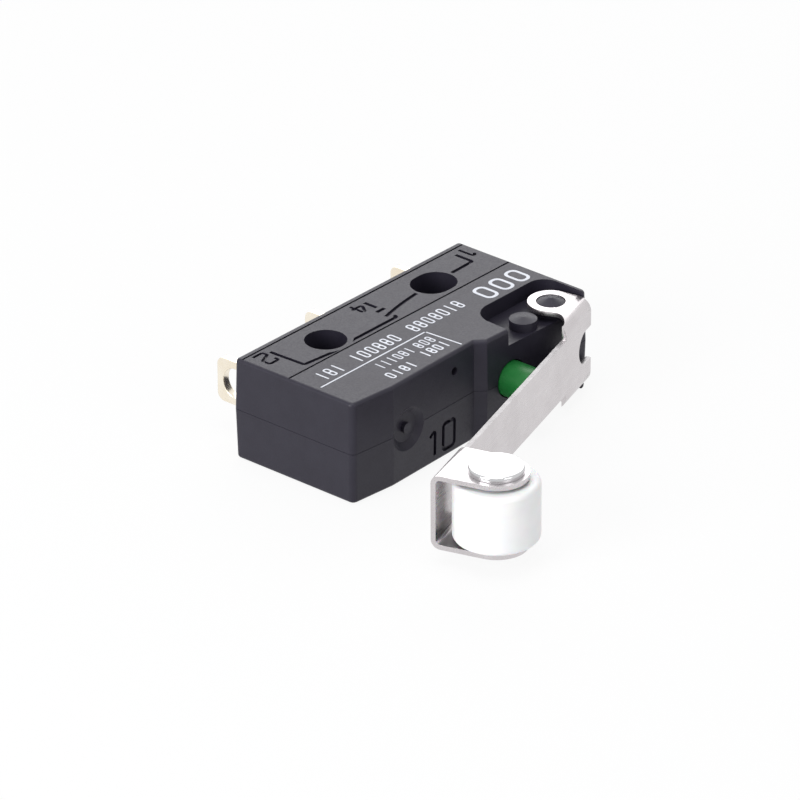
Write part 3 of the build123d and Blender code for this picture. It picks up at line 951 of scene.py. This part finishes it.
@dataclass
class Studio:
    """Floor, soft lights and the camera at the photograph's viewing angle."""

    focal_length: float = 317.507
    sensor: float = 36.0
    eye: tuple[float, float, float] = (-268.602, -239.128, 191.078)
    right: tuple[float, float, float] = (0.654208, -0.756299, -0.004749)
    down: tuple[float, float, float] = (-0.354042, -0.300690, -0.885573)
    forward: tuple[float, float, float] = (0.668330, 0.581031, -0.464476)
    middle: tuple[float, float, float] = (3.6, -6.5, 3.0)
    floor_size: float = 4000.0
    floor_gap: float = 0.02
    floor_shade: float = 0.82
    floor_roughness: float = 0.9
    floor_glow: float = 0.9
    sky_tint: tuple[float, float, float] = (0.95, 0.97, 1.0)
    sky_strength: float = 0.3
    nearest: float = 10.0
    farthest: float = 10000.0
    panels: tuple[Panel, ...] = (
        Panel("panel_behind", (200, 170, 145), (320, 220), 0.40),
        Panel("panel_above", (-30, -10, 260), (160, 160), 0.28),
        Panel("panel_left", (-260, 20, 110), (150, 150), 0.6),
        Panel("panel_front", (-20, -260, 110), (130, 130), 0.12),
    )

    def build(self) -> None:
        """Make the floor, the world, the lamps and the camera."""
        self.floor()
        self.world()
        for panel in self.panels:
            self.lamp(panel)
        self.camera()

    def floor(self) -> None:
        """Pale floor that shows white to the camera and keeps a faint shadow."""
        mesh = bpy.data.meshes.new("studio_floor")
        half = self.floor_size / 2 * MM
        drop = -self.floor_gap * MM
        corners = [
            (-half, -half, drop),
            (half, -half, drop),
            (half, half, drop),
            (-half, half, drop),
        ]
        mesh.from_pydata(corners, [], [(0, 1, 2, 3)])
        floor = bpy.data.objects.new("studio_floor", mesh)
        bpy.context.scene.collection.objects.link(floor)
        sheet = ShaderSheet("studio_paper")
        tree = sheet.tree
        shade = self.floor_shade
        sheet.shader.inputs["Base Color"].default_value = (shade, shade, shade, 1.0)
        sheet.shader.inputs["Roughness"].default_value = self.floor_roughness
        sheet.shader.inputs["Specular IOR Level"].default_value = 0.0
        glow = tree.nodes.new("ShaderNodeEmission")
        glow.inputs["Color"].default_value = WHITE
        mix = tree.nodes.new("ShaderNodeMixShader")
        share = tree.nodes.new("ShaderNodeMath")
        share.operation = "MULTIPLY"
        share.inputs[1].default_value = self.floor_glow
        sheet.link(seen_by_eye(tree), share.inputs[0])
        sheet.link(share.outputs[0], mix.inputs[0])
        sheet.link(sheet.shader.outputs["BSDF"], mix.inputs[1])
        sheet.link(glow.outputs["Emission"], mix.inputs[2])
        sheet.link(mix.outputs["Shader"], sheet.output.inputs["Surface"])
        floor.data.materials.append(sheet.material)

    def world(self) -> None:
        """White world for the camera and for reflections, softer as a light."""
        world = bpy.data.worlds.new("studio_world")
        world.use_nodes = True
        tree = world.node_tree
        tree.nodes.clear()
        output = tree.nodes.new("ShaderNodeOutputWorld")
        lit = tree.nodes.new("ShaderNodeBackground")
        lit.inputs["Color"].default_value = (*self.sky_tint, 1.0)
        lit.inputs["Strength"].default_value = self.sky_strength
        seen = tree.nodes.new("ShaderNodeBackground")
        seen.inputs["Color"].default_value = WHITE
        seen.inputs["Strength"].default_value = 1.0
        mix = tree.nodes.new("ShaderNodeMixShader")
        tree.links.new(seen_by_eye(tree), mix.inputs[0])
        tree.links.new(lit.outputs["Background"], mix.inputs[1])
        tree.links.new(seen.outputs["Background"], mix.inputs[2])
        tree.links.new(mix.outputs["Shader"], output.inputs["Surface"])
        bpy.context.scene.world = world

    def lamp(self, panel: Panel) -> None:
        """One rectangular lamp that faces the middle of the switch.

        Args:
            panel: Place, size and power of the lamp.
        """
        lamp = bpy.data.lights.new(panel.name, "AREA")
        lamp.shape = "RECTANGLE"
        lamp.size, lamp.size_y = (value * MM for value in panel.size)
        lamp.energy = panel.power
        holder = bpy.data.objects.new(panel.name, lamp)
        bpy.context.scene.collection.objects.link(holder)
        centre = Vector(self.middle) * MM
        holder.location = Vector(panel.place) * MM
        holder.rotation_euler = (centre - holder.location).to_track_quat("-Z", "Y").to_euler()

    def camera(self) -> None:
        """Camera fitted to the photograph's view."""
        lens = bpy.data.cameras.new("photo_camera")
        lens.sensor_width = self.sensor
        lens.lens = self.focal_length
        lens.clip_start = self.nearest * MM
        lens.clip_end = self.farthest * MM
        camera = bpy.data.objects.new("photo_camera", lens)
        bpy.context.scene.collection.objects.link(camera)
        up = [-value for value in self.down]
        back = [-value for value in self.forward]
        axes = Matrix((self.right, up, back)).transposed()
        camera.matrix_world = Matrix.Translation(Vector(self.eye) * MM) @ axes.to_4x4()
        bpy.context.scene.camera = camera


def seen_by_eye(tree: bpy.types.NodeTree) -> bpy.types.NodeSocket:
    """One for camera, mirror and clear-glass rays, nought for the rays that carry light.

    Args:
        tree: Node tree to add to.

    Returns:
        The value socket.
    """
    path = tree.nodes.new("ShaderNodeLightPath")
    first = tree.nodes.new("ShaderNodeMath")
    first.operation = "MAXIMUM"
    second = tree.nodes.new("ShaderNodeMath")
    second.operation = "MAXIMUM"
    tree.links.new(path.outputs["Is Camera Ray"], first.inputs[0])
    tree.links.new(path.outputs["Is Glossy Ray"], first.inputs[1])
    tree.links.new(first.outputs[0], second.inputs[0])
    tree.links.new(path.outputs["Is Transmission Ray"], second.inputs[1])
    return second.outputs[0]


def main() -> None:
    """Build every piece in order, then the stage."""
    bpy.context.scene.view_settings.view_transform = "Standard"
    finishes = FinishRack()
    CaseHalves().build(finishes)
    PadPrint().build(finishes)
    StampedParts().build(finishes)
    Studio().build()


if __name__ == "__main__":
    main()
